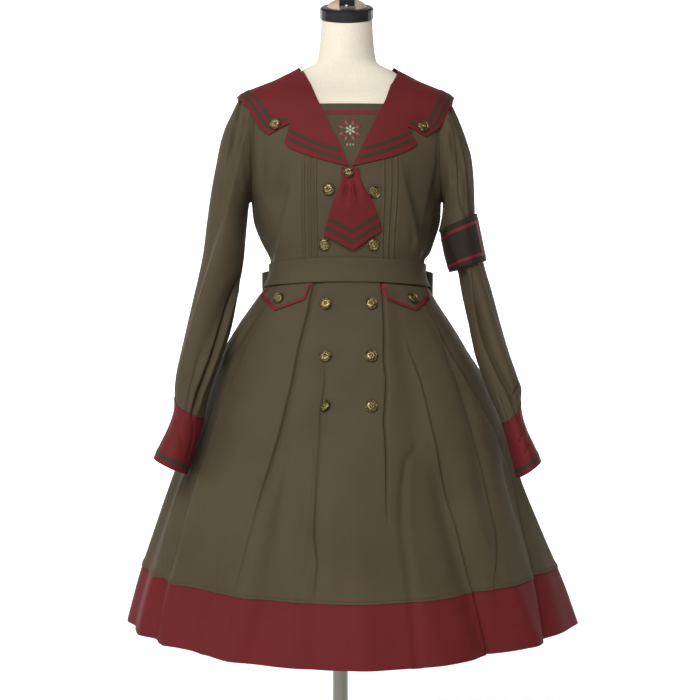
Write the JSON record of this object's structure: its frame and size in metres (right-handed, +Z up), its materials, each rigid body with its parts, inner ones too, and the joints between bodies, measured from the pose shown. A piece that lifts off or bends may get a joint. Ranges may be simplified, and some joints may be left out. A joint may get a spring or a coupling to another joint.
{
  "type": "military style dress on a limbless dress form",
  "caption": "Long-sleeved flared dress with a wide sailor-cut collar, tie and armband, filled out on a limbless dress form on a pole and round base.",
  "frame": {"origin": "on the floor, at the middle of the bounding box, under the skirt", "axes": "+Z up along the form's pole, -Y out of the dress's front, +X to the right of someone looking at the front"},
  "size_m": [0.7463, 0.6133, 1.4531],
  "materials": {
    "olive_twill": "matt twill weave, olive brown",
    "burgundy_twill": "matt twill weave, burgundy",
    "armband_twill": "matt twill weave, dark brown",
    "antique_brass": "antique, satin",
    "form_linen": "plain linen cover",
    "cap_plastic": "black, satin",
    "cap_dome": "beige, satin",
    "pole_steel": "satin",
    "base_enamel": "dark grey, satin"
  },
  "bodies": {
    "root": {"armband": "armband_twill", "bodice_back": "olive_twill", "bodice_front": "olive_twill", "bow_knot": "olive_twill", "bow_loop_left": "olive_twill", "bow_loop_right": "olive_twill", "bow_tail_left": "olive_twill", "bow_tail_right": "olive_twill", "button_bodice_lower_left": "antique_brass", "button_bodice_lower_right": "antique_brass", "button_bodice_upper_left": "antique_brass", "button_bodice_upper_right": "antique_brass", "button_collar_left": "antique_brass", "button_collar_right": "antique_brass", "button_pocket_left": "antique_brass", "button_pocket_right": "antique_brass", "button_skirt_1_left": "antique_brass", "button_skirt_1_right": "antique_brass", "button_skirt_2_left": "antique_brass", "button_skirt_2_right": "antique_brass", "button_skirt_3_left": "antique_brass", "button_skirt_3_right": "antique_brass", "button_tie": "antique_brass", "collar": "burgundy_twill", "cuff_left": "burgundy_twill", "cuff_right": "burgundy_twill", "dickey": "olive_twill", "form_base": "base_enamel", "form_cap_dome": "cap_dome", "form_cap_strap": "cap_plastic", "form_neck_cap": "cap_plastic", "form_pole": "pole_steel", "form_torso": "form_linen", "hem_band_back": "burgundy_twill", "hem_band_front": "burgundy_twill", "pocket_flap_left": "olive_twill", "pocket_flap_right": "olive_twill", "skirt_back": "olive_twill", "skirt_front": "olive_twill", "sleeve_left": "olive_twill", "sleeve_right": "olive_twill", "tie": "burgundy_twill", "waistband_back": "olive_twill", "waistband_front": "olive_twill"}
  },
  "joints": []
}
